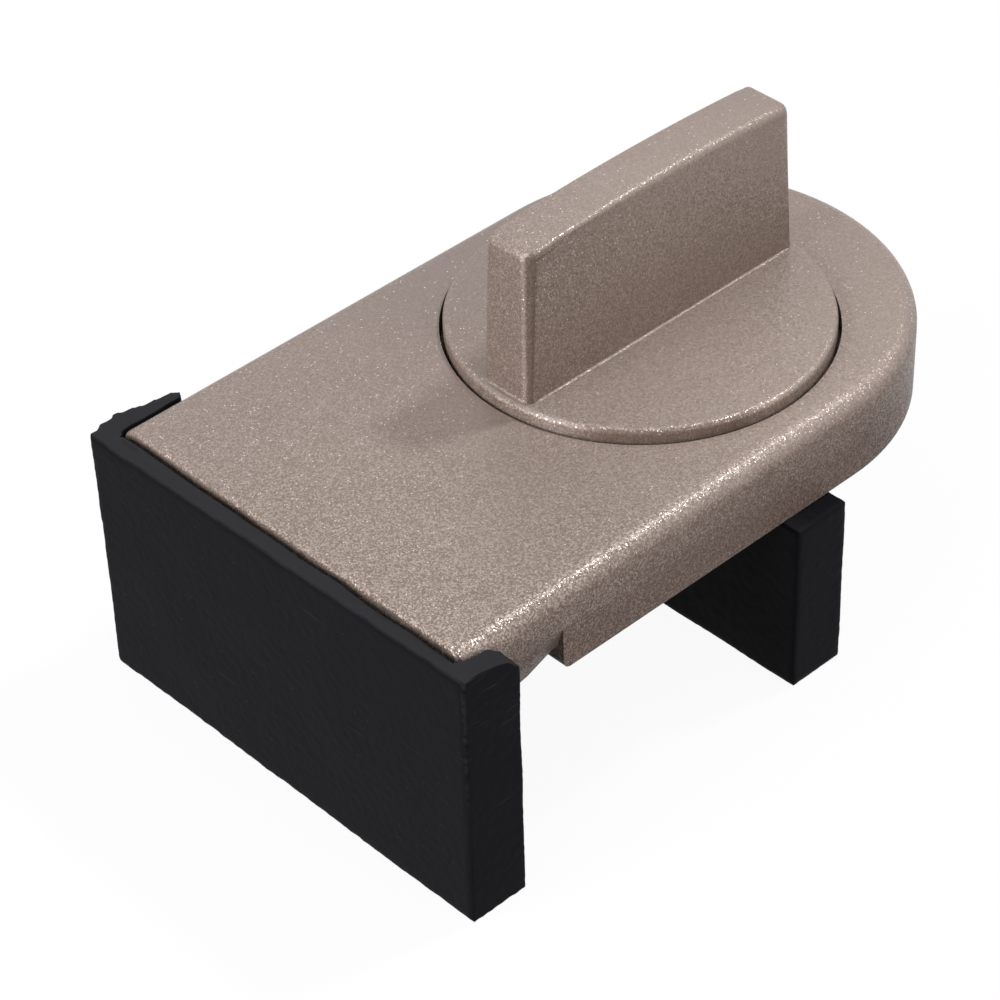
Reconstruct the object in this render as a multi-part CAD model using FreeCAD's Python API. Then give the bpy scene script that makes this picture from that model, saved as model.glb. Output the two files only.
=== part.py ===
import FreeCAD, Part
import os

V = FreeCAD.Vector

# Driving dimensions in mm. X runs from the fixed jaw to the round end, Z is up, the jaws stand on Z = 0.
overall_length = 50.3
body_width = 30.4
body_top = 19.0
skirt_depth = 6.05
skirt_wall = 2.4
roof_thickness = 1.9
top_edge_radius = 1.3
front_edge_radius = 0.3
inner_corner_radius = 1.0

# Knob and its well.
axis_from_front = 31.55
well_radius = 12.75
well_depth = 1.8
well_floor = 1.5
well_wall = 1.3
knob_gap = 0.25
knob_proud = 0.9
knob_rim_bevel = 0.3
hub_radius = 8.0
hub_bore_clearance = 0.05
knob_lift = 0.05
fin_length = 23.2
fin_end_slope = 0.35
fin_foot_thickness = 3.5
fin_top_thickness = 3.0
fin_end_height = 10.85
fin_crown = 0.4
fin_corner_radius = 0.7
fin_edge_bevel = 0.4

# Jaws and their rubber sleeves.
fixed_sleeve_depth = 4.5
fixed_sleeve_width = 33.6
fixed_sleeve_drop = 0.2
fixed_front_wall = 1.6
leg_thickness = 1.75
leg_width = 28.4
leg_edge_radius = 0.6
sleeve_floor = 1.4
sleeve_fit = 0.05
sleeve_edge_radius = 0.6
sleeve_inner_drop = 0.25
turning_sleeve_depth = 4.4
turning_sleeve_width = 33.0
turning_sleeve_drop = 0.25
turning_sleeve_offset = -0.75
blade_thickness = 1.8
blade_width = 29.6
flange_radius = 10.0
flange_thickness = 2.1
blade_root_radius = 0.8

# Spring washer between the well floor and the flange.
washer_space = 0.6
washer_thickness = 0.35
washer_clearance = 0.3
washer_width = 1.7
washer_relief = 0.03

# Countersunk screws that hold the flange to the hub.
screw_spacing = 11.2
screw_radius = 1.5
screw_head_radius = 2.8
screw_head_height = 1.5
screw_hole_clearance = 0.1
screw_thread_fit = 0.02
screw_length = 5.6
screw_tip_space = 0.4

# Notches and sloped facets low on the skirt behind the fixed jaw, and ribs under the roof.
notch_front = 3.6
notch_middle = 7.2
notch_rear = 9.6
notch_front_rise = 0.3
notch_middle_rise = 0.8
notch_rear_rise = 1.6
notch_lip_radius = 0.6
facet_front_height = 1.3
facet_rear_height = 3.2
facet_front_depth = 0.4
facet_rear_depth = 1.0
rib_width = 1.5
rib_spacing = 14.0
rib_drop = 1.2
gusset_reach = 5.0
gusset_drop = 3.2

# How far a cutter passes a face, and how near two heights count as one.
cut_past = 1.0
same_height = 1e-4

# Positions worked out from the sizes above.
front = -overall_length / 2
rear = overall_length / 2
half_body = body_width / 2
round_x = rear - half_body
axis_x = front + axis_from_front
body_front = front + fixed_front_wall + sleeve_fit
roof_bottom = body_top - roof_thickness
skirt_bottom = body_top - skirt_depth
well_top = body_top - well_depth
well_bottom = well_top - well_floor
flange_top = well_bottom - washer_space
flange_bottom = flange_top - flange_thickness
blade_x = axis_x + turning_sleeve_offset
turning_sleeve_top = skirt_bottom - turning_sleeve_drop
fin_foot = body_top + knob_proud


def box(x0, x1, half_y, z0, z1):
    return Part.makeBox(x1 - x0, 2 * half_y, z1 - z0, V(x0, -half_y, z0))


def disc(radius, z0, z1, x=axis_x, y=0):
    return Part.makeCylinder(radius, z1 - z0, V(x, y, z0))


def upright(edge):
    return edge.BoundBox.ZLength > edge.BoundBox.XLength + edge.BoundBox.YLength


def level_at(shape, z):
    return [e for e in shape.Edges if abs(e.BoundBox.ZMin - z) + abs(e.BoundBox.ZMax - z) < same_height]


def d_block(inset, z0, z1):
    """Block with a square front and a half-round rear end."""
    radius = half_body - inset
    block = box(body_front + inset, round_x, radius, z0, z1).fuse(disc(radius, z0, z1, round_x))
    return block.removeSplitter()


def front_edges(shape):
    """Edges that lie wholly in the front face of a block."""
    x = shape.BoundBox.XMin
    return [e for e in shape.Edges if e.BoundBox.XMax < x + same_height]


def skirt_notch():
    """Cutter for the lower edge of both sides, with a rounded lip at its rear end."""
    x0, x1, x2 = front + notch_front, front + notch_middle, front + notch_rear
    low = skirt_bottom - cut_past
    lip = skirt_bottom + notch_lip_radius
    ends = [V(x2 + notch_lip_radius, 0, skirt_bottom), V(x2 + notch_lip_radius, 0, low), V(x0, 0, low)]
    ends += [V(x0, 0, skirt_bottom + notch_front_rise), V(x1, 0, skirt_bottom + notch_middle_rise)]
    high = skirt_bottom + notch_rear_rise
    ends += [V(x2 - notch_lip_radius, 0, high), V(x2, 0, high), V(x2, 0, lip)]
    bend = notch_lip_radius * (1 - 0.5 ** 0.5)
    corner = Part.Arc(ends[-1], V(x2 + bend, 0, skirt_bottom + bend), ends[0]).toShape()
    outline = Part.Wire(Part.makePolygon(ends).Edges + [corner])
    plate = Part.Face(outline).extrude(V(0, body_width, 0))
    plate.translate(V(0, -half_body, 0))
    return plate


def facet_outline(x, side, height, depth):
    """Section of a skirt facet at one place along the body."""
    edge = side * half_body
    floor = side * (half_body - depth)
    lip = side * (half_body + cut_past)
    low = skirt_bottom - cut_past
    top = skirt_bottom + height
    points = [V(x, lip, low), V(x, floor, low), V(x, floor, skirt_bottom), V(x, edge, top), V(x, lip, top)]
    return Part.makePolygon(points + [points[0]])


def skirt_facet(side):
    """Cutter for the sloped facet above the notch, deeper and higher towards the rear."""
    first = facet_outline(front + notch_front, side, facet_front_height, facet_front_depth)
    last = facet_outline(front + notch_rear, side, facet_rear_height, facet_rear_depth)
    return Part.makeLoft([first, last], True, True)


def rib(y):
    """Straight rib from the fixed leg to the boss under the well."""
    x0 = body_front + leg_thickness / 2
    x1 = axis_x - well_radius
    bar = Part.makeBox(x1 - x0, rib_width, rib_drop + roof_thickness / 2,
                       V(x0, y - rib_width / 2, roof_bottom - rib_drop))
    x2 = body_front + leg_thickness
    corner = V(x2, y - rib_width / 2, roof_bottom)
    ends = [corner, V(x2 + gusset_reach, corner.y, roof_bottom), V(x2, corner.y, roof_bottom - gusset_drop)]
    gusset = Part.Face(Part.makePolygon(ends + [corner])).extrude(V(0, rib_width, 0))
    return bar.fuse(gusset)


def make_housing():
    """Cast body with the fixed leg, the round well for the knob and the bore for its hub."""
    body = d_block(0, skirt_bottom, body_top)
    sides = [e for e in level_at(body, body_top) if e.BoundBox.XMax > body_front + same_height]
    body = body.makeFillet(top_edge_radius, sides)
    face_edges = [e for e in front_edges(body) if e.BoundBox.ZMax > skirt_bottom + same_height]
    body = body.makeFillet(front_edge_radius, face_edges)
    hollow = d_block(skirt_wall, skirt_bottom - cut_past, roof_bottom)
    body = body.cut(hollow.makeFillet(inner_corner_radius, [e for e in front_edges(hollow) if upright(e)]))
    boss = disc(well_radius + well_wall, well_bottom, body_top - top_edge_radius)
    leg_top = roof_bottom + roof_thickness / 2
    leg = box(body_front, body_front + leg_thickness, leg_width / 2, sleeve_floor, leg_top)
    foot = [e for e in leg.Edges if e.BoundBox.ZMax < sleeve_floor + same_height]
    leg = leg.makeFillet(leg_edge_radius, foot)
    body = body.fuse([boss, leg] + [rib(y) for y in (-rib_spacing / 2, rib_spacing / 2)])
    leg_zone = box(front, body_front + leg_thickness, half_body, sleeve_floor, body_top)
    body = body.cut([skirt_notch().cut(leg_zone), skirt_facet(-1), skirt_facet(1)])
    body = body.cut(disc(well_radius, well_top, body_top + cut_past))
    body = body.cut(disc(hub_radius + hub_bore_clearance, well_bottom - cut_past, body_top))
    return body.removeSplitter()


def make_fixed_sleeve():
    """Rubber sleeve round the fixed leg, with two cheeks that clasp the front of the body."""
    x1 = front + fixed_sleeve_depth
    block = box(front, x1, fixed_sleeve_width / 2, 0, body_top - fixed_sleeve_drop)
    block = block.makeFillet(sleeve_edge_radius, [e for e in block.Edges if upright(e)])
    shoulder = skirt_bottom - sleeve_inner_drop
    mouth = box(body_front - sleeve_fit, x1 + cut_past, half_body + sleeve_fit, shoulder, body_top + cut_past)
    leg_space = box(body_front - sleeve_fit, body_front + leg_thickness + sleeve_fit,
                    leg_width / 2 + sleeve_fit, sleeve_floor - sleeve_fit, shoulder + cut_past)
    return block.cut([mouth, leg_space])


def make_knob():
    """Round knob with a tall crowned grip across its top and a hub below."""
    radius = well_radius - knob_gap
    plate = disc(radius, well_top + knob_lift, fin_foot)
    plate = plate.makeChamfer(knob_rim_bevel, level_at(plate, fin_foot))
    half = fin_length / 2
    low = fin_foot - knob_proud / 2
    top = fin_foot + fin_end_height
    left, right = axis_x - half, axis_x + half
    foot_left, foot_right = left - fin_end_slope, right + fin_end_slope
    crown = Part.Arc(V(left, 0, top), V(axis_x, 0, top + fin_crown), V(right, 0, top)).toShape()
    sides = Part.makePolygon([V(right, 0, top), V(foot_right, 0, low), V(foot_left, 0, low), V(left, 0, top)])
    profile = Part.Face(Part.Wire([crown] + sides.Edges))
    slab = profile.extrude(V(0, fin_foot_thickness, 0))
    slab.translate(V(0, -fin_foot_thickness / 2, 0))
    corners = [e for e in slab.Edges if e.BoundBox.YLength > fin_top_thickness and e.BoundBox.ZMin > fin_foot]
    slab = slab.makeFillet(fin_corner_radius, corners)
    foot_y = fin_foot_thickness / 2
    top_y = fin_top_thickness / 2
    peak = top + fin_crown
    ends = [V(foot_left, -foot_y, low), V(foot_left, foot_y, low)]
    ends += [V(foot_left, top_y, peak), V(foot_left, -top_y, peak)]
    taper = Part.Face(Part.makePolygon(ends + [ends[0]])).extrude(V(foot_right - foot_left, 0, 0))
    fin = slab.common(taper)
    rim = [e for e in fin.Edges if e.BoundBox.ZMax > fin_foot and e.BoundBox.YLength < fin_top_thickness / 2]
    fin = fin.makeChamfer(fin_edge_bevel, rim)
    hub = disc(hub_radius, flange_top, fin_foot - knob_proud)
    knob = plate.fuse([fin, hub]).removeSplitter()
    hole_radius = screw_radius + screw_thread_fit
    hole_end = flange_bottom + screw_length + screw_tip_space
    return knob.cut([disc(hole_radius, flange_top - cut_past, hole_end, x) for x in screw_places()])


def screw_places():
    return [axis_x - screw_spacing / 2, axis_x + screw_spacing / 2]


def screw_cone(x, play):
    """Countersunk head with its flat side level with the underside of the flange."""
    wide, narrow = screw_head_radius + play, screw_radius + play
    return Part.makeCone(wide, narrow, screw_head_height, V(x, 0, flange_bottom))


def make_turning_jaw():
    """Cast flange that is screwed to the hub, with the jaw blade hanging from it."""
    flange = disc(flange_radius, flange_bottom, flange_top)
    x0 = blade_x - blade_thickness / 2
    x1 = blade_x + blade_thickness / 2
    blade = box(x0, x1, blade_width / 2, sleeve_floor, turning_sleeve_top)
    foot = [e for e in blade.Edges if e.BoundBox.ZMax < sleeve_floor + same_height]
    blade = blade.makeFillet(leg_edge_radius, foot)
    neck_half = flange_radius - blade_root_radius
    neck = box(x0, x1, neck_half, turning_sleeve_top - cut_past, flange_top - flange_thickness / 2)
    jaw = flange.fuse([blade, neck]).removeSplitter()
    hole_radius = screw_radius + screw_hole_clearance
    for x in screw_places():
        jaw = jaw.cut(disc(hole_radius, flange_bottom - cut_past, flange_top + cut_past, x))
        jaw = jaw.cut(screw_cone(x, screw_hole_clearance))
    return jaw


def make_turning_sleeve():
    """Rubber sleeve pulled over the jaw blade from below."""
    half = turning_sleeve_depth / 2
    block = box(blade_x - half, blade_x + half, turning_sleeve_width / 2, 0, turning_sleeve_top)
    block = block.makeFillet(sleeve_edge_radius, [e for e in block.Edges if upright(e)])
    reach = blade_thickness / 2 + sleeve_fit
    space = box(blade_x - reach, blade_x + reach, blade_width / 2 + sleeve_fit, sleeve_floor - sleeve_fit,
                turning_sleeve_top + cut_past)
    return block.cut(space)


def make_screws():
    """Two countersunk screws."""
    screws = []
    for x in screw_places():
        shank = disc(screw_radius, flange_bottom, flange_bottom + screw_length, x)
        screws.append(screw_cone(x, 0).fuse(shank).removeSplitter())
    return Part.makeCompound(screws)


def make_washer():
    """Cone washer that presses the knob down into its well."""
    inner = hub_radius + washer_clearance
    outer = inner + washer_width
    low = flange_top + washer_relief
    high = well_bottom - washer_relief - washer_thickness
    corner = V(inner, 0, high)
    ends = [corner, V(outer, 0, low), V(outer, 0, low + washer_thickness)]
    ends += [V(inner, 0, high + washer_thickness), corner]
    section = Part.Face(Part.makePolygon(ends))
    ring = section.revolve(V(0, 0, 0), V(0, 0, 1), 360)
    ring.translate(V(axis_x, 0, 0))
    return ring


nodes = {
    "housing": make_housing,
    "fixed_jaw_sleeve": make_fixed_sleeve,
    "knob": make_knob,
    "turning_jaw": make_turning_jaw,
    "turning_jaw_sleeve": make_turning_sleeve,
    "jaw_screws": make_screws,
    "spring_washer": make_washer,
}

os.makedirs("parts", exist_ok=True)
for name, make in nodes.items():
    make().exportStep("parts/" + name + ".step")
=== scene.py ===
import math
import bmesh
import bpy
from mathutils import Matrix, Vector, noise


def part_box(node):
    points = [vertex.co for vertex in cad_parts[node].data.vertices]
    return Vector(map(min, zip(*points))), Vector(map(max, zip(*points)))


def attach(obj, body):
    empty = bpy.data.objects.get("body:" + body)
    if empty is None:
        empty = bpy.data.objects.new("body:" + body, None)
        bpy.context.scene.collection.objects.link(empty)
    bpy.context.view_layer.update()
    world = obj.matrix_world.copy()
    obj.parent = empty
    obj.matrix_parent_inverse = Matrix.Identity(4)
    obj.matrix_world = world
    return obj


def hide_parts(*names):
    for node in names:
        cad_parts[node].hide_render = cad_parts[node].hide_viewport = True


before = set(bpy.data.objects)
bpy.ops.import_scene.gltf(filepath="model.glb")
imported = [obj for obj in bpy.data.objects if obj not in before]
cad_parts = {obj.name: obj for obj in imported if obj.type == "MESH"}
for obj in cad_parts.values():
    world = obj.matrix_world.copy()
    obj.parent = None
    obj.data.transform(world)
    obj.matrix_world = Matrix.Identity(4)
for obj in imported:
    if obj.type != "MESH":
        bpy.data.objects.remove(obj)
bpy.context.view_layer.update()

MM = 0.001

# Camera, fitted to the photograph: places in m, lens and sensor in mm.
SENSOR_WIDTH = 36.0
LENS = 123.81
CAMERA_PLACE = Vector((-0.11975, -0.12268, 0.14813))
CAMERA_AIM = Vector((0.5263, 0.5684, -0.6324))
CAMERA_RIGHT = Vector((0.7200, -0.6935, -0.0240))
CLIP_START = 0.01
CLIP_END = 10.0

# Lamps: name, place in m, width in m and power in W. The world adds even light.
LAMPS = (
    ("key", (-1.0, 0.10, 0.36), 0.7, 9.6),
    ("fill", (0.0, -0.75, 0.38), 0.4, 2.0),
    ("edge", (0.32, -0.10, 0.5), 0.07, 1.4),
    ("top", (-0.06, 0.2, 0.9), 0.25, 0.35),
    ("rear", (0.27, 0.54, 0.68), 0.6, 0.5),
)
AMBIENT = 0.42
WHITE = (1, 1, 1, 1)

# Floor: width in m, height in mm, its tone, the tone it shows to the object, and how far it shines by itself.
FLOOR_SIZE = 4.0
FLOOR_HEIGHT = -0.05
FLOOR_TONE = (0.95, 0.95, 0.95, 1)
FLOOR_BOUNCE = (0.03, 0.03, 0.03, 1)
FLOOR_WHITE_SHARE = 0.93

# Knob, in mm. Its grip has sloping ends and a crowned top, and is worn on the side towards -Y.
PLATE_FACE = 19.9
PLATE_BOTTOM = 17.25
PLATE_ROUND = 0.4
HUB_RADIUS = 8.0
FIN_HALF_LENGTH = 11.6
FIN_FOOT_HALF_LENGTH = 11.95
FIN_SIDE_FOOT = 1.95
FIN_SIDE_TOP = 1.8
FIN_END_TOP = 30.75
FIN_CORNER = 0.7
FIN_OFFSET = -0.25
FIN_UPRIGHT_ROUND = 0.9
FIN_TRAILING_ROUND = 0.25
FIN_CROWN_ROUND = 0.28
FIN_WORN_ROUND = 0.55
FIN_WEAR_START = -9
FIN_WEAR_FULL = 3
FIN_ROOT = 18.6
BEAD = 0.16
BEAD_SINK = 0.04

# Fineness of the knob's round forms, and the angle from which an edge is shaded sharp.
LATHE_STEPS = 192
CORNER_STEPS = 8
CORNER_SWEEP = 80
CROWN_STEPS = 12
EDGE_STEPS = 6
SHARP_ANGLE = math.radians(28)

# Rubber of both sleeves: lengths in mm, frequencies per m.
RUBBER_VOXEL = 0.2
RUBBER_GRAIN = 0.025
RUBBER_WAVE = 0.06
GRAIN_FREQUENCY = 2500
WAVE_FREQUENCY = 220
NICK_FREQUENCY = (700, 450)
SLEEVE_FLOOR = 1.35

# Fixed jaw's sleeve, in mm. Its front wall and cheeks reach its top, and the rest ends at the shoulder.
FIXED_RIGHT = -17.0
FIXED_LEFT = 16.3
FIXED_BODY_HALF_WIDTH = 15.35
FIXED_LEG_HALF_WIDTH = 14.25
FIXED_FRONT_WALL = 1.55
FIXED_REAR_WALL = 3.4
FIXED_SHOULDER = 12.7
CHEEK_LAP = 1.0
# Ragged left cheek from above, x from the front face and y from the middle.
CHEEK_OUTLINE = (
    (0.1, 14.6), (1.3, 14.6), (1.6, 15.3), (6.5, 15.35), (6.85, 15.8), (6.3, 16.25),
    (5.4, 16.3), (4.9, 16.55), (4.3, 16.5), (3.7, 16.95), (3.1, 16.9), (2.7, 17.1),
    (2.0, 16.95), (1.3, 17.0), (0.8, 16.6), (0.1, 16.45),
)

# Uneven top and bottom of the fixed jaw's sleeve, in mm.
FIXED_CUT_REACH = 5
FIXED_CUT_RISE = 0.3
FIXED_CUT_LEFT_FALL = 0.65
FIXED_CUT_REAR_FALL = 0.6
FIXED_CUT_REAR_START = 1
FIXED_CUT_INNER_FALL = 0.1
FIXED_CUT_INNER_START = 0.5
FIXED_CUT_CHEEK_BLEND = 0.4
FIXED_CUT_LEFT_BLEND = (14.3, 15.2)
FIXED_TIP_DROP = 0.7
FIXED_TIP_LENGTH = 1.2
FIXED_NICK = 0.16
FIXED_NICK_SEED = 0.3
FIXED_GAP = 0.35
FIXED_GAP_START = 0.7
FIXED_GAP_END = 3
FIXED_GAP_HALF_WIDTH = 15
FRAY = 0.12
FRAY_REACH = 1.2
FRAY_FREQUENCY = (1100, 800)
FRAY_SEED = 0.9

# Turning jaw's sleeve, in mm.
TURNING_WALL = 1.25
TURNING_END_WALL = 1.6
TURNING_CUT_REACH = 4
TURNING_NICK = 0.08
TURNING_NICK_SEED = 0.7
TURNING_RISE = 0.14

# Paint colours, linear, and the sizes of its flakes in mm.
PAINT_BASE = (0.220, 0.165, 0.137, 1)
PAINT_SHADE = (0.202, 0.151, 0.125, 1)
# Painted light: a paler tone for top faces and a lighter one for the rear.
PAINTED_LIGHT_ON_TOP = (0.278, 0.228, 0.211, 1)
PAINTED_LIGHT_AT_REAR = (0.345, 0.272, 0.240, 1)
# Painted shade: a dark tone and a deeper one.
PAINTED_SHADE_TONE = (0.150, 0.106, 0.088, 1)
PAINTED_DEEP_SHADE = (0.07, 0.05, 0.042, 1)
FLAKE = (0.57, 0.485, 0.44, 1)
# Flake darkened as painted shade on walls and low down.
FLAKE_IN_SHADE = (0.36, 0.265, 0.225, 1)
SPARK = (0.90, 0.82, 0.78, 1)
FLAKE_SIZE = 0.09
SPARK_SIZE = 0.14
FLAKE_TILT = 0.45

# How strongly each of the paint's tones shows, among them the painted sparkle, painted light, painted shade
# and painted highlight lines.
PAINTED_SPARKLE_SHARE = 0.62
REAR_LIGHT_SHARE = 0.6
PAINTED_SHADE_SHARE = 0.85
HOLLOW_SHADE_SHARE = 0.8
DEEP_SHADE_SHARE = 0.4
PAINTED_HIGHLIGHT_LINE_SHARE = 0.22
FAINT_PAINTED_HIGHLIGHT_SHARE = 0.4
FLAKES_LOST_TO_SHADE = 0.7
FLAKES_SHADED_ON_WALLS = 0.5
EDGE_SPARK_SHARE = 0.55
SPARK_LIMITS = (1.0, 0.92)
REAR_EDGE_SPARKS = 0.3
COAT_SHARE = 0.1

# Where the paint's tones lie, in mm, as (none, full): painted sparkle to the right and the front, painted
# shade low on the skirt and in the hollow before the notch, painted light at the rear, the right and up the
# grip, and fewer painted edge glints towards the rear.
PAINTED_SPARKLE_TO_RIGHT = (20, -20)
PAINTED_SPARKLE_TO_FRONT = (15, -30)
LOW_ON_SKIRT = (18.2, 15.0)
BEFORE_NOTCH = (-15.3, -16.8)
HOLLOW_DEPTH = (17.6, 15.8)
PAINTED_LIGHT_TO_REAR = (-12, 6)
PAINTED_LIGHT_TO_RIGHT = (8, -2)
PAINTED_LIGHT_UP_THE_GRIP = (18.5, 30.0)
EDGE_SPARKS_THIN = (-4, 16)

# Bands of painted light and shade as (start, full, fading, end). The rounded edge, for the painted glints,
# goes by the upward part of the normal.
# The painted highlight line, painted shade band and faint painted highlight on uprights go by the normal's
# angle, in radians from straight ahead towards the right.
ROUNDED_EDGE = (0.66, 0.78, 0.88, 0.95)
PAINTED_HIGHLIGHT_LINE = (0.14, 0.28, 0.36, 0.5)
PAINTED_SHADE_BAND = (0.45, 0.6, 1.25, 1.45)
FAINT_PAINTED_HIGHLIGHT = (1.25, 1.38, 1.48, 1.56)

# Rubber colours, linear.
RUBBER_DARK = (0.0062, 0.0062, 0.0080, 1)
RUBBER_SMEAR = (0.0092, 0.0092, 0.0115, 1)
RUBBER_DUST = (0.02, 0.02, 0.023, 1)
RUBBER_CUT = (0.026, 0.026, 0.029, 1)
RUBBER_SCUFF = (0.02, 0.02, 0.022, 1)
RUBBER_SCRATCH = (0.018, 0.018, 0.021, 1)
RUBBER_TEAR = (0.038, 0.038, 0.038, 1)
# Painted shade for the turning sleeve's inner face.
RUBBER_PAINTED_SHADE = (0.0016, 0.0016, 0.0022, 1)

# Where the rubber's tones lie, in mm, as (none, full). The two sleeves are told apart by X.
FIXED_JAW = (5, 0)
TURNING_JAW = (0, 5)
SCUFF_FRONT = (-24.88, -25.04)
SCUFF_RIGHT = (-16.72, -16.88)
SCUFF_HEIGHT = (6, 16)
TEAR_HEIGHT = (12.5, 15.5)

# Colours of the bare metals, linear, from dark to pale grain.
STEEL_TONES = ((0.42, 0.42, 0.43, 1), (0.62, 0.62, 0.60, 1))
CASTING_TONES = ((0.24, 0.24, 0.245, 1), (0.40, 0.40, 0.40, 1))


def new_material(name):
    material = bpy.data.materials.new(name)
    material.use_nodes = True
    tree = material.node_tree
    shader = tree.nodes["Principled BSDF"]
    return material, tree, shader


def add_node(tree, kind, inputs=None, **settings):
    """Adds a node, sets its properties, and fills or links its inputs by name or number."""
    node = tree.nodes.new(kind)
    for key, value in settings.items():
        setattr(node, key, value)
    for key, value in (inputs or {}).items():
        if isinstance(value, bpy.types.NodeSocket):
            tree.links.new(value, node.inputs[key])
        else:
            node.inputs[key].default_value = value
    return node


def object_coordinates(tree):
    return add_node(tree, "ShaderNodeTexCoord").outputs["Object"]


def split(tree, vector):
    """The X, Y and Z of a vector."""
    return tuple(add_node(tree, "ShaderNodeSeparateXYZ", {0: vector}).outputs)


def ramp(tree, value, none, full):
    """Share that runs from 0 where the value is none to 1 where it is full."""
    inputs = {"Value": value, "From Min": none, "From Max": full}
    return add_node(tree, "ShaderNodeMapRange", inputs, clamp=True).outputs["Result"]


def zone(tree, coordinate, limits):
    """Share that runs from 0 to 1 between two places in mm."""
    none, full = limits
    return ramp(tree, coordinate, none * MM, full * MM)


def spread(tree, share, first, last):
    """Runs from first to last as the share goes from 0 to 1."""
    inputs = {"Value": share, "To Min": first, "To Max": last}
    return add_node(tree, "ShaderNodeMapRange", inputs).outputs["Result"]


def maths(tree, operation, first, second):
    return add_node(tree, "ShaderNodeMath", {0: first, 1: second}, operation=operation).outputs[0]


def vector_maths(tree, operation, inputs):
    return add_node(tree, "ShaderNodeVectorMath", inputs, operation=operation).outputs[0]


def product(tree, first, *others):
    for other in others:
        first = maths(tree, "MULTIPLY", first, other)
    return first


def remainder(tree, share):
    """What a share leaves of 1."""
    return maths(tree, "SUBTRACT", 1.0, share)


def band(tree, value, start, full, fading, end):
    """1 between full and fading, and 0 before the start and after the end."""
    return product(tree, ramp(tree, value, start, full), ramp(tree, value, end, fading))


def blend_colours(tree, factor, first, second):
    inputs = {0: factor, 6: first, 7: second}
    return add_node(tree, "ShaderNodeMix", inputs, data_type="RGBA").outputs[2]


def layered(tree, ground, layers):
    """Lays colours over a ground, each by its share."""
    for share, colour in layers:
        ground = blend_colours(tree, share, ground, colour)
    return ground


def cloudy(tree, place, scale, detail, roughness=0.5):
    """Soft noise between 0 and 1."""
    inputs = {"Vector": place, "Scale": scale, "Detail": detail, "Roughness": roughness}
    return add_node(tree, "ShaderNodeTexNoise", inputs).outputs["Fac"]


def streaks(tree, place, rotation, scale):
    """Noise drawn out in one direction."""
    turned = add_node(tree, "ShaderNodeMapping", {"Vector": place, "Rotation": rotation, "Scale": scale})
    return cloudy(tree, turned.outputs[0], scale=1.0, detail=2.0)


def cells(tree, place, size):
    """Random colour of each small cell, a random number from it, and the distance to its middle in cells."""
    node = add_node(tree, "ShaderNodeTexVoronoi", {"Vector": place, "Scale": 1 / (size * MM)})
    parts = add_node(tree, "ShaderNodeSeparateColor", {"Color": node.outputs["Color"]})
    return node.outputs["Color"], parts.outputs["Red"], node.outputs["Distance"]


def bumped(tree, height, strength, distance):
    """Normal of a surface with small bumps, their height in mm."""
    inputs = {"Height": height, "Strength": strength, "Distance": distance * MM}
    return add_node(tree, "ShaderNodeBump", inputs).outputs["Normal"]


def painted_edge_glints(tree, x, facing_y, facing_z):
    """Share of glints on the rounded top edges of the right side, a painted highlight, fewer towards the
    rear.
    """
    right = ramp(tree, facing_y, none=-0.15, full=-0.35)
    thinning = spread(tree, zone(tree, x, EDGE_SPARKS_THIN), 1.0, REAR_EDGE_SPARKS)
    return product(tree, band(tree, facing_z, *ROUNDED_EDGE), right, thinning)


def upright_painted_light(tree, facing_x, facing_y, facing_z):
    """Shares of the painted highlight line, painted shade band and faint painted highlight round an upright
    edge at the front right.
    """
    ahead, right = product(tree, facing_x, -1.0), product(tree, facing_y, -1.0)
    around = maths(tree, "ARCTAN2", right, ahead)
    upright = ramp(tree, facing_z, none=0.9, full=0.75)
    bands = (PAINTED_HIGHLIGHT_LINE, PAINTED_SHADE_BAND, FAINT_PAINTED_HIGHLIGHT)
    return [product(tree, band(tree, around, *limits), upright) for limits in bands]


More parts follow.
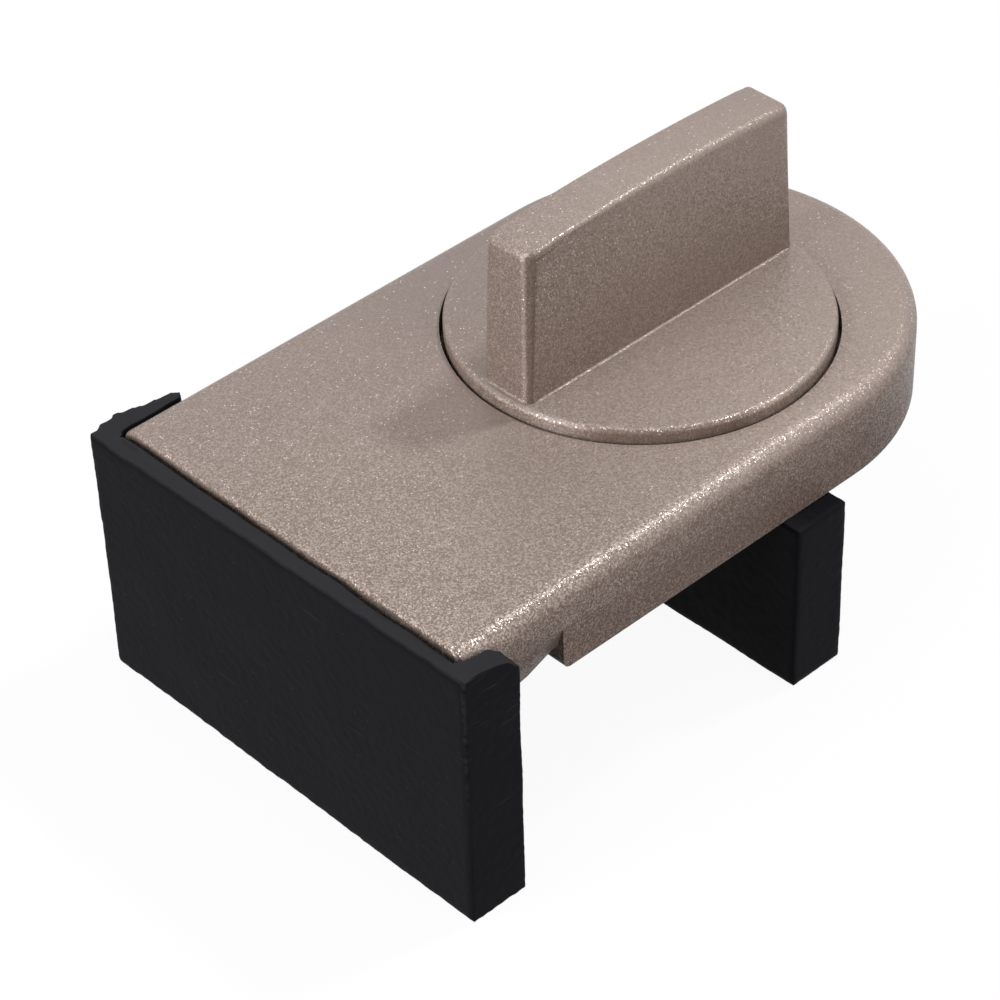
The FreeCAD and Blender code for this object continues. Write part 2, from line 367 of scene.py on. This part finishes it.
def metallic_paint(name):
    """Champagne paint full of fine flakes, each tilted its own way, with a few bright ones, and with painted
    light on top faces and at the rear, painted shade low down and in the hollow before the notch, and painted
    highlights and a painted shade band at edges.
    """
    material, tree, shader = new_material(name)
    place = object_coordinates(tree)
    x, y, z = split(tree, place)
    normal = add_node(tree, "ShaderNodeTexCoord").outputs["Normal"]
    facing_x, facing_y, facing_z = split(tree, normal)

    # Where the tones lie; most of them are painted light and shade.
    # Painted light: more flakes and sparks towards the front and the right, as sparkle where the light falls.
    painted_sparkle = maths(tree, "ADD", zone(tree, y, PAINTED_SPARKLE_TO_RIGHT), zone(tree, x, PAINTED_SPARKLE_TO_FRONT))
    painted_sparkle = product(tree, painted_sparkle, PAINTED_SPARKLE_SHARE)
    level = ramp(tree, facing_z, none=0.1, full=0.7)
    under = ramp(tree, facing_z, none=-0.05, full=-0.3)
    # Painted shade low on the skirt and on faces turned down.
    low_down_shade = maths(tree, "MAXIMUM", zone(tree, z, LOW_ON_SKIRT), under)
    # Painted highlight line, painted shade band and faint painted highlight round the front right upright.
    painted_highlight_line, painted_shade_band, faint_painted_highlight = upright_painted_light(tree, facing_x, facing_y, facing_z)
    # Painted shade in the hollow before the notch, joined with the painted shade band.
    hollow = product(tree, zone(tree, x, BEFORE_NOTCH), zone(tree, z, HOLLOW_DEPTH))
    dark = maths(tree, "MAXIMUM", painted_shade_band, product(tree, hollow, HOLLOW_SHADE_SHARE))
    # Painted highlights: the lines on the upright and the glints on the right top edges draw more sparks.
    lines = maths(tree, "ADD", painted_highlight_line, product(tree, faint_painted_highlight, FAINT_PAINTED_HIGHLIGHT_SHARE))
    edges = maths(tree, "ADD", painted_edge_glints(tree, x, facing_y, facing_z), lines)
    # Painted light on the top faces at the rear and the right, and up the grip.
    rear = product(tree, zone(tree, x, PAINTED_LIGHT_TO_REAR), zone(tree, y, PAINTED_LIGHT_TO_RIGHT))
    lifted = maths(tree, "MAXIMUM", level, zone(tree, z, PAINTED_LIGHT_UP_THE_GRIP))
    # Deeper painted shade low on the skirt where it faces the rear.
    rear_facing_shade = product(tree, ramp(tree, facing_x, none=0.15, full=0.6), low_down_shade)

    # The paint under its flakes, with painted light on top faces and at the rear, painted shade low on the
    # skirt, in the hollow and in the band, and a painted highlight line.
    cloud = ramp(tree, cloudy(tree, place, scale=160.0, detail=4.0), none=0.35, full=0.65)
    ground = layered(tree, blend_colours(tree, cloud, PAINT_BASE, PAINT_SHADE), (
        # Painted light on top faces where the flakes are fewer.
        (product(tree, remainder(tree, painted_sparkle), level), PAINTED_LIGHT_ON_TOP),
        (product(tree, rear, lifted, REAR_LIGHT_SHARE), PAINTED_LIGHT_AT_REAR),
        (product(tree, dark, PAINTED_SHADE_SHARE), PAINTED_SHADE_TONE),
        (product(tree, low_down_shade, PAINTED_SHADE_SHARE), PAINTED_SHADE_TONE),
        (product(tree, rear_facing_shade, DEEP_SHADE_SHARE), PAINTED_DEEP_SHADE),
        # Painted highlight line in the flake colour.
        (product(tree, painted_highlight_line, PAINTED_HIGHLIGHT_LINE_SHARE), FLAKE),
    ))

    # Flakes, and the few that shine; more where sparkle is painted, fewer in painted shade, darker as painted
    # shade on walls and low down, and paler sparks as painted light on top faces and edges.
    tone, pick, _ = cells(tree, place, FLAKE_SIZE)
    spark_tone, spark_pick, spark_away = cells(tree, place, SPARK_SIZE)
    # Fewer flakes in the painted shade.
    unshaded = remainder(tree, product(tree, dark, FLAKES_LOST_TO_SHADE))
    shown = product(tree, ramp(tree, pick, none=0.35, full=1.1), painted_sparkle, unshaded)
    # Darker flakes as painted shade on walls and low down.
    flake_shade = maths(tree, "MAXIMUM", low_down_shade, product(tree, remainder(tree, level), FLAKES_SHADED_ON_WALLS))
    flake = blend_colours(tree, flake_shade, FLAKE, FLAKE_IN_SHADE)
    more_at_edges = product(tree, edges, EDGE_SPARK_SHARE)
    limit = maths(tree, "SUBTRACT", spread(tree, painted_sparkle, *SPARK_LIMITS), more_at_edges)
    chosen = maths(tree, "GREATER_THAN", spark_pick, limit)
    lit = product(tree, chosen, ramp(tree, spark_away, none=0.42, full=0.15))
    # Sparks are paler on top faces and at the edges, as painted light; on walls they take the flake colour.
    spark = blend_colours(tree, maths(tree, "MAXIMUM", level, edges), flake, SPARK)
    colour = layered(tree, ground, ((shown, flake), (lit, spark)))
    tree.links.new(colour, shader.inputs["Base Color"])

    # Each flake leans its own way in a paint that is a little uneven.
    lean = blend_colours(tree, lit, tone, spark_tone)
    lean = vector_maths(tree, "SUBTRACT", {0: lean, 1: (0.5, 0.5, 0.5)})
    lean = vector_maths(tree, "SCALE", {0: lean, "Scale": FLAKE_TILT})
    uneven = bumped(tree, cloudy(tree, place, scale=1400.0, detail=2.0), strength=0.1, distance=0.05)
    tilted = vector_maths(tree, "NORMALIZE", {0: vector_maths(tree, "ADD", {0: uneven, 1: lean})})
    tree.links.new(tilted, shader.inputs["Normal"])
    tree.links.new(uneven, shader.inputs["Coat Normal"])

    metal = product(tree, spread(tree, lit, 0.2, 1.0), spread(tree, low_down_shade, 1.0, 0.25))
    tree.links.new(metal, shader.inputs["Metallic"])
    tree.links.new(product(tree, level, COAT_SHARE), shader.inputs["Coat Weight"])
    shader.inputs["Roughness"].default_value = 0.32
    shader.inputs["Specular IOR Level"].default_value = 0.05
    shader.inputs["Coat Roughness"].default_value = 0.22
    return material


def black_rubber(name):
    """Matt black rubber with a fine grain, faint smears, specks of dust, scratches, paler rubbed edges and
    painted shade on the turning sleeve's inner face.
    """
    material, tree, shader = new_material(name)
    place = object_coordinates(tree)
    x, y, z = split(tree, place)
    true_normal = add_node(tree, "ShaderNodeNewGeometry").outputs["True Normal"]
    to_object = {"vector_type": "NORMAL", "convert_from": "WORLD", "convert_to": "OBJECT"}
    normal = add_node(tree, "ShaderNodeVectorTransform", {0: true_normal}, **to_object).outputs[0]
    facing_x, facing_y, facing_z = split(tree, normal)

    smear = cloudy(tree, place, scale=180.0, detail=6.0, roughness=0.65)
    dust = add_node(tree, "ShaderNodeTexVoronoi", {"Vector": place, "Scale": 900.0}).outputs["Distance"]
    cut = product(tree, ramp(tree, facing_z, none=0.4, full=0.8), zone(tree, x, FIXED_JAW))
    corner = product(tree, zone(tree, x, SCUFF_FRONT), zone(tree, y, SCUFF_RIGHT))
    patches = ramp(tree, cloudy(tree, place, scale=2200.0, detail=3.0), none=0.42, full=0.6)
    scuff = product(tree, corner, patches, zone(tree, z, SCUFF_HEIGHT))
    scratches = ramp(tree, streaks(tree, place, (0.95, 0, 0), (300, 130, 2000)), none=0.72, full=0.8)
    upper_side = product(tree, ramp(tree, facing_y, none=-0.7, full=-0.9), zone(tree, z, TEAR_HEIGHT))
    tears = ramp(tree, streaks(tree, place, (0, 0.55, 0), (350, 350, 3200)), none=0.6, full=0.75)
    # Painted shade on the turning sleeve's face towards the fixed jaw, under the body.
    inner = product(tree, ramp(tree, facing_x, none=-0.4, full=-0.8), zone(tree, x, TURNING_JAW))

    smeared = blend_colours(tree, ramp(tree, smear, none=0.35, full=0.7), RUBBER_DARK, RUBBER_SMEAR)
    colour = layered(tree, smeared, (
        (ramp(tree, dust, none=0.09, full=0.04), RUBBER_DUST),
        (cut, RUBBER_CUT),
        (scuff, RUBBER_SCUFF),
        (scratches, RUBBER_SCRATCH),
        (product(tree, upper_side, tears), RUBBER_TEAR),
        (inner, RUBBER_PAINTED_SHADE),
    ))
    tree.links.new(colour, shader.inputs["Base Color"])
    tree.links.new(spread(tree, smear, 0.5, 0.72), shader.inputs["Roughness"])
    grain = cloudy(tree, place, scale=5200.0, detail=3.0)
    tree.links.new(bumped(tree, grain, strength=0.25, distance=0.03), shader.inputs["Normal"])
    shader.inputs["Specular IOR Level"].default_value = 0.035
    return material


def plated_steel(name):
    """Zinc-plated steel with a fine grain."""
    material, tree, shader = new_material(name)
    grain = cloudy(tree, object_coordinates(tree), scale=2600.0, detail=4.0)
    tree.links.new(blend_colours(tree, grain, *STEEL_TONES), shader.inputs["Base Color"])
    tree.links.new(spread(tree, grain, 0.25, 0.45), shader.inputs["Roughness"])
    shader.inputs["Metallic"].default_value = 1.0
    return material


def bare_casting(name):
    """Dull zinc with the grain of the mould."""
    material, tree, shader = new_material(name)
    grain = cloudy(tree, object_coordinates(tree), scale=1500.0, detail=5.0)
    tree.links.new(blend_colours(tree, grain, *CASTING_TONES), shader.inputs["Base Color"])
    tree.links.new(bumped(tree, grain, strength=0.3, distance=0.05), shader.inputs["Normal"])
    shader.inputs["Metallic"].default_value = 0.85
    shader.inputs["Roughness"].default_value = 0.5
    return material


def add_prism(mesh, outline, z0, z1):
    """Adds an upright prism over an outline given as (x, y) pairs, anticlockwise seen from above."""
    low = [mesh.verts.new((x, y, z0)) for x, y in outline]
    high = [mesh.verts.new((x, y, z1)) for x, y in outline]
    mesh.faces.new(list(reversed(low)))
    mesh.faces.new(high)
    for i in range(len(outline)):
        j = (i + 1) % len(outline)
        mesh.faces.new((low[i], low[j], high[j], high[i]))


def rectangle(x0, x1, y0, y1):
    return [(x0, y0), (x1, y0), (x1, y1), (x0, y1)]


def link_mesh(name, mesh):
    """Makes an object of a bmesh."""
    data = bpy.data.meshes.new(name)
    mesh.to_mesh(data)
    mesh.free()
    piece = bpy.data.objects.new(name, data)
    bpy.context.scene.collection.objects.link(piece)
    return piece


def bake_modifiers(piece):
    """Gives a piece the mesh that its modifiers make, and returns that mesh."""
    graph = bpy.context.evaluated_depsgraph_get()
    solid = bpy.data.meshes.new_from_object(piece.evaluated_get(graph))
    piece.modifiers.clear()
    piece.data = solid
    return solid


def smooth_shade(data, sharp_angle):
    """Shades faces smooth, but keeps edges sharper than the angle."""
    mesh = bmesh.new()
    mesh.from_mesh(data)
    for face in mesh.faces:
        face.smooth = True
    for edge in mesh.edges:
        edge.smooth = edge.calc_face_angle(0) < sharp_angle
    mesh.to_mesh(data)
    mesh.free()


def put_in_place(piece, node, body, material):
    """Shows a piece instead of a node, on the node's body."""
    piece.data.materials.clear()
    piece.data.materials.append(material)
    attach(piece, body)
    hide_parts(node)


def eased(value, low, high):
    """Share that runs softly from 0 at low to 1 at high."""
    share = min(1, max(0, (value - low) / (high - low)))
    return share * share * (3 - 2 * share)


def arc_points(cx, cy, radius, start, stop, count):
    """Points on an arc, angles in degrees."""
    points = []
    for i in range(count + 1):
        angle = math.radians(start + (stop - start) * i / count)
        points.append((cx + radius * math.cos(angle), cy + radius * math.sin(angle)))
    return points


def quarter_turn(count):
    """Even steps from 0 to 90 degrees, in radians."""
    return [math.radians(90 * i / count) for i in range(count + 1)]


def lathe(mesh, profile, centre_x, count):
    """Closed round solid from (radius, z) points, the first and last on the axis."""
    rings = []
    for radius, z in profile[1:-1]:
        ring = []
        for i in range(count):
            angle = 2 * math.pi * i / count
            ring.append(mesh.verts.new((centre_x + radius * math.cos(angle), radius * math.sin(angle), z)))
        rings.append(ring)
    ends = [mesh.verts.new((centre_x, 0, profile[i][1])) for i in (0, -1)]
    for i in range(count):
        j = (i + 1) % count
        mesh.faces.new((ends[0], rings[0][i], rings[0][j]))
        mesh.faces.new((ends[1], rings[-1][j], rings[-1][i]))
        for upper, lower in zip(rings, rings[1:]):
            mesh.faces.new((upper[i], lower[i], lower[j], upper[j]))


def crown_height(x, half, peak, end):
    """Height of the grip's curved top."""
    return end + (peak - end) * (1 - (x / half) ** 2)


def fin_outline(peak):
    """Side view of the grip as (x, z) pairs from its middle, with sloping ends and a crowned top."""
    half, foot_half = FIN_HALF_LENGTH * MM, FIN_FOOT_HALF_LENGTH * MM
    end, corner = FIN_END_TOP * MM, FIN_CORNER * MM
    top = arc_points(half - corner, end - corner, corner, 0, CORNER_SWEEP, CORNER_STEPS)
    for i in range(1, 2 * CROWN_STEPS):
        x = (half - corner) * (1 - i / CROWN_STEPS)
        top.append((x, crown_height(x, half, peak, end)))
    top += [(-x, z) for x, z in reversed(top[:CORNER_STEPS + 1])]
    return [(-foot_half, FIN_ROOT * MM), (foot_half, FIN_ROOT * MM)] + top


def fin_side(z, peak):
    """Half the grip's thickness at a height."""
    share = (z / MM - PLATE_FACE) / (peak / MM - PLATE_FACE)
    return (FIN_SIDE_FOOT + (FIN_SIDE_TOP - FIN_SIDE_FOOT) * share) * MM


def upright_round(side):
    """Radius of the grip's upright edges in mm, wide on its worn side."""
    return FIN_UPRIGHT_ROUND if side < 0 else FIN_TRAILING_ROUND


def fin_rounding(x, side):
    """Radius of the grip's edge: the uprights' own at the ends, and along the crown thin but for its wear."""
    end = eased(abs(x), (FIN_HALF_LENGTH - FIN_CORNER) * MM, FIN_HALF_LENGTH * MM)
    crown = FIN_CROWN_ROUND
    if side < 0:
        crown += (FIN_WORN_ROUND - FIN_CROWN_ROUND) * eased(x, FIN_WEAR_START * MM, FIN_WEAR_FULL * MM)
    return (crown + (upright_round(side) - crown) * end) * MM


def add_fin(mesh, centre_x, peak):
    """Tapered grip with rounded edges, as rings that run round its side view from one face to the other."""
    outline = fin_outline(peak)
    count = len(outline)
    inward = []
    for i in range(count):
        before, after = Vector(outline[i - 1]), Vector(outline[(i + 1) % count])
        along = (after - before).normalized()
        inward.append(Vector((-along.y, along.x)))
    steps = quarter_turn(EDGE_STEPS)
    rings = []
    for side, turns in ((-1, reversed(steps)), (1, steps)):
        for turn in turns:
            ring = []
            for (x, z), inner in zip(outline, inward):
                radius = fin_rounding(x, side)
                inset = inner * radius * (1 - math.cos(turn))
                y = side * (fin_side(z, peak) - radius * (1 - math.sin(turn))) + FIN_OFFSET * MM
                ring.append(mesh.verts.new((centre_x + x + inset.x, y, z + inset.y)))
            rings.append(ring)
    mesh.faces.new(rings[0])
    mesh.faces.new(list(reversed(rings[-1])))
    for first, second in zip(rings, rings[1:]):
        for i in range(count):
            j = (i + 1) % count
            mesh.faces.new((first[j], first[i], second[i], second[j]))


def foot_bead(mesh, centre_x):
    """Thin hollow fillet between the grip and the plate."""
    bead, foot = BEAD * MM, PLATE_FACE * MM
    half_x, half_y = (FIN_FOOT_HALF_LENGTH - BEAD_SINK) * MM, FIN_SIDE_FOOT * MM
    steps = quarter_turn(EDGE_STEPS)
    section = [(bead * (1 - math.cos(turn)), bead * (1 - math.sin(turn))) for turn in steps]
    section.append((-bead / 2, -bead / 2))
    rows = []
    for sx, sy, start in ((1, 1, 0), (-1, 1, 90), (-1, -1, 180), (1, -1, 270)):
        radius = upright_round(sy) * MM
        cx, cy = sx * (half_x - radius), sy * (half_y - radius) + FIN_OFFSET * MM
        for i in range(CORNER_STEPS + 1):
            angle = math.radians(start + 90 * i / CORNER_STEPS)
            row = []
            for out, up in section:
                reach = radius + out
                place = (centre_x + cx + math.cos(angle) * reach, cy + math.sin(angle) * reach, foot + up)
                row.append(mesh.verts.new(place))
            rows.append(row)
    for first, second in zip(rows, rows[1:] + rows[:1]):
        for i in range(len(section)):
            j = (i + 1) % len(section)
            mesh.faces.new((first[i], first[j], second[j], second[i]))


def make_knob(material):
    """Knob with rounded rim and grip edges."""
    low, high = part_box("knob")
    centre_x = (low.x + high.x) / 2
    radius = (high.x - low.x) / 2
    face, rim, base = PLATE_FACE * MM, PLATE_ROUND * MM, PLATE_BOTTOM * MM
    profile = [(0, face)] + list(reversed(arc_points(radius - rim, face - rim, rim, 0, 90, CORNER_STEPS)))
    profile += [(radius, base), (HUB_RADIUS * MM, base), (HUB_RADIUS * MM, low.z), (0, low.z)]
    mesh = bmesh.new()
    lathe(mesh, profile, centre_x, LATHE_STEPS)
    foot_bead(mesh, centre_x)
    add_fin(mesh, centre_x, high.z)
    bmesh.ops.recalc_face_normals(mesh, faces=mesh.faces)
    piece = link_mesh("knob_rounded", mesh)
    smooth_shade(piece.data, SHARP_ANGLE)
    put_in_place(piece, "knob", "turning_knob", material)


def ragged(place, frequency, seed):
    """Noise along a cut edge, between -1 and 1."""
    return noise.noise(Vector((place.x * frequency[0], place.y * frequency[1], seed)))


def rubber_piece(name, mesh, node, body, material, bend):
    """Turns the prisms into one soft-edged, slightly uneven rubber piece in place of a node."""
    piece = link_mesh(name, mesh)
    remesh = piece.modifiers.new("voxels", "REMESH")
    remesh.mode = "VOXEL"
    remesh.voxel_size = RUBBER_VOXEL * MM
    soften = piece.modifiers.new("soften", "SMOOTH")
    soften.factor = 0.5
    soften.iterations = 2
    solid = bake_modifiers(piece)
    normals = [vertex.normal.copy() for vertex in solid.vertices]
    for vertex, normal in zip(solid.vertices, normals):
        grain = noise.noise(vertex.co * GRAIN_FREQUENCY) * (RUBBER_GRAIN * MM)
        wave = noise.noise(vertex.co * WAVE_FREQUENCY) * (RUBBER_WAVE * MM)
        vertex.co = bend(vertex.co + normal * (grain + wave))
    for polygon in solid.polygons:
        polygon.use_smooth = True
    put_in_place(piece, node, body, material)


def fixed_sleeve(material):
    """Sleeve of the fixed jaw, with the ragged longer cheek on its left."""
    low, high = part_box("fixed_jaw_sleeve")
    x0, x1, top = low.x, high.x, high.z
    right, left = FIXED_RIGHT * MM, FIXED_LEFT * MM
    body, leg = FIXED_BODY_HALF_WIDTH * MM, FIXED_LEG_HALF_WIDTH * MM
    front_wall, rear_wall = x0 + FIXED_FRONT_WALL * MM, x0 + FIXED_REAR_WALL * MM
    shoulder = FIXED_SHOULDER * MM
    mesh = bmesh.new()
    add_prism(mesh, rectangle(x0, front_wall, right, left), 0, top)
    add_prism(mesh, rectangle(x0, x1, right, -body), 0, top)
    add_prism(mesh, rectangle(rear_wall, x1, right, left), 0, shoulder)
    add_prism(mesh, rectangle(x0, x1, right, left), 0, SLEEVE_FLOOR * MM)
    add_prism(mesh, rectangle(x0, x1, right, -leg), 0, shoulder)
    add_prism(mesh, rectangle(x0, x1, leg, left), 0, shoulder)
    cheek = [(x0 + x * MM, y * MM) for x, y in CHEEK_OUTLINE]
    add_prism(mesh, cheek, shoulder - CHEEK_LAP * MM, top)

    def top_change(place):
        """Rise of the uneven cut in mm: falling to the left, to the rear and a little on the inside."""
        to_left = (place.y - right) / (left - right)
        to_right = 1 - to_left
        behind = eased(place.x, x0 + FIXED_CUT_REAR_START * MM, x1)
        blend = FIXED_CUT_CHEEK_BLEND * MM
        between = eased(place.y, -body - blend, -body + blend)
        between *= 1 - eased(place.y, *(edge * MM for edge in FIXED_CUT_LEFT_BLEND))
        inside = eased(place.x, x0 + FIXED_CUT_INNER_START * MM, front_wall) * between
        outer = FIXED_CUT_RISE - FIXED_CUT_LEFT_FALL * to_left - FIXED_CUT_REAR_FALL * behind * to_right
        height = outer * (1 - inside) - FIXED_CUT_INNER_FALL * to_right * inside
        tip = FIXED_TIP_DROP * eased(place.x, x1 - FIXED_TIP_LENGTH * MM, x1) * (place.y < 0)
        return height + FIXED_NICK * ragged(place, NICK_FREQUENCY, FIXED_NICK_SEED) - tip

    def bend(place):
        """Uneven cut along the top, a slim gap before the body and a frayed bottom."""
        rise = eased(place.z, top - FIXED_CUT_REACH * MM, top)
        gap = FIXED_GAP * eased(place.x, x0 + FIXED_GAP_START * MM, front_wall) * rise
        gap *= (abs(place.y) < FIXED_GAP_HALF_WIDTH * MM) * (place.x < x0 + FIXED_GAP_END * MM)
        frayed = FRAY * abs(ragged(place, FRAY_FREQUENCY, FRAY_SEED)) * eased(place.z, FRAY_REACH * MM, 0)
        return place + Vector((-gap * MM, 0, (top_change(place) * rise + frayed) * MM))

    rubber_piece("fixed_sleeve_rubber", mesh, "fixed_jaw_sleeve", "lock_body", material, bend)


def turning_sleeve(material):
    """Sleeve of the turning jaw, pulled over its blade."""
    low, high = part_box("turning_jaw_sleeve")
    mesh = bmesh.new()
    wall, end = TURNING_WALL * MM, TURNING_END_WALL * MM
    add_prism(mesh, rectangle(low.x, low.x + wall, low.y, high.y), 0, high.z)
    add_prism(mesh, rectangle(high.x - wall, high.x, low.y, high.y), 0, high.z)
    add_prism(mesh, rectangle(low.x, high.x, low.y, low.y + end), 0, high.z)
    add_prism(mesh, rectangle(low.x, high.x, high.y - end, high.y), 0, high.z)
    add_prism(mesh, rectangle(low.x, high.x, low.y, high.y), 0, SLEEVE_FLOOR * MM)

    def bend(place):
        """Uneven cut along the top, a little higher than the node."""
        height = TURNING_NICK * ragged(place, NICK_FREQUENCY, TURNING_NICK_SEED) + TURNING_RISE
        return place + Vector((0, 0, height * MM * eased(place.z, high.z - TURNING_CUT_REACH * MM, high.z)))

    rubber_piece("turning_sleeve_rubber", mesh, "turning_jaw_sleeve", "turning_knob", material, bend)


def paint_node(name, material):
    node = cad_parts[name]
    node.data.materials.clear()
    node.data.materials.append(material)


def seen_share(tree, path):
    """1 for rays that show a surface to the camera, also by way of gloss or a clear piece."""
    seen = maths(tree, "MAXIMUM", path.outputs["Is Camera Ray"], path.outputs["Is Glossy Ray"])
    return maths(tree, "MAXIMUM", seen, path.outputs["Is Transmission Ray"])


def make_floor():
    """White floor that keeps a soft shadow and throws little light back at the object."""
    bpy.ops.mesh.primitive_plane_add(size=FLOOR_SIZE, location=(0, 0, FLOOR_HEIGHT * MM))
    floor = bpy.context.object
    floor.name = "floor"
    material, tree, shader = new_material("pale_floor")
    path = add_node(tree, "ShaderNodeLightPath")
    tone = blend_colours(tree, path.outputs["Is Diffuse Ray"], FLOOR_TONE, FLOOR_BOUNCE)
    tree.links.new(tone, shader.inputs["Base Color"])
    shader.inputs["Roughness"].default_value = 0.9
    shader.inputs["Specular IOR Level"].default_value = 0.0
    glow = add_node(tree, "ShaderNodeEmission", {"Color": WHITE, "Strength": 1.0})
    share = product(tree, seen_share(tree, path), FLOOR_WHITE_SHARE)
    mix = add_node(tree, "ShaderNodeMixShader", {0: share, 1: shader.outputs[0], 2: glow.outputs[0]})
    tree.links.new(mix.outputs[0], tree.nodes["Material Output"].inputs["Surface"])
    floor.data.materials.append(material)


def make_world():
    """White surroundings that light the object only a little."""
    world = bpy.data.worlds.new("studio")
    bpy.context.scene.world = world
    world.use_nodes = True
    tree = world.node_tree
    path = add_node(tree, "ShaderNodeLightPath")
    strength = spread(tree, seen_share(tree, path), AMBIENT, 1.0)
    tree.links.new(strength, tree.nodes["Background"].inputs["Strength"])
    tree.nodes["Background"].inputs["Color"].default_value = WHITE


def add_lamp(name, place, size, power):
    """Square lamp that looks at the origin."""
    data = bpy.data.lights.new(name, "AREA")
    data.shape = "SQUARE"
    data.size = size
    data.energy = power
    lamp = bpy.data.objects.new(name, data)
    lamp.location = place
    lamp.rotation_euler = (-Vector(place)).to_track_quat("-Z", "Y").to_euler()
    bpy.context.scene.collection.objects.link(lamp)


def make_camera():
    data = bpy.data.cameras.new("camera")
    data.sensor_width = SENSOR_WIDTH
    data.lens = LENS
    data.clip_start, data.clip_end = CLIP_START, CLIP_END
    camera = bpy.data.objects.new("camera", data)
    back = -CAMERA_AIM.normalized()
    right = (CAMERA_RIGHT - CAMERA_RIGHT.dot(back) * back).normalized()
    turn = Matrix((right, back.cross(right), back)).transposed()
    camera.matrix_world = Matrix.Translation(CAMERA_PLACE) @ turn.to_4x4()
    bpy.context.scene.collection.objects.link(camera)
    bpy.context.scene.camera = camera


paint = metallic_paint("champagne_paint")
rubber = black_rubber("black_rubber")
steel = plated_steel("plated_steel")
paint_node("housing", paint)
paint_node("turning_jaw", bare_casting("bare_casting"))
for node_name in ("jaw_screws", "spring_washer"):
    paint_node(node_name, steel)
make_knob(paint)
fixed_sleeve(rubber)
turning_sleeve(rubber)
make_floor()
make_world()
for lamp_settings in LAMPS:
    add_lamp(*lamp_settings)
make_camera()
bpy.context.scene.view_settings.view_transform = "Standard"
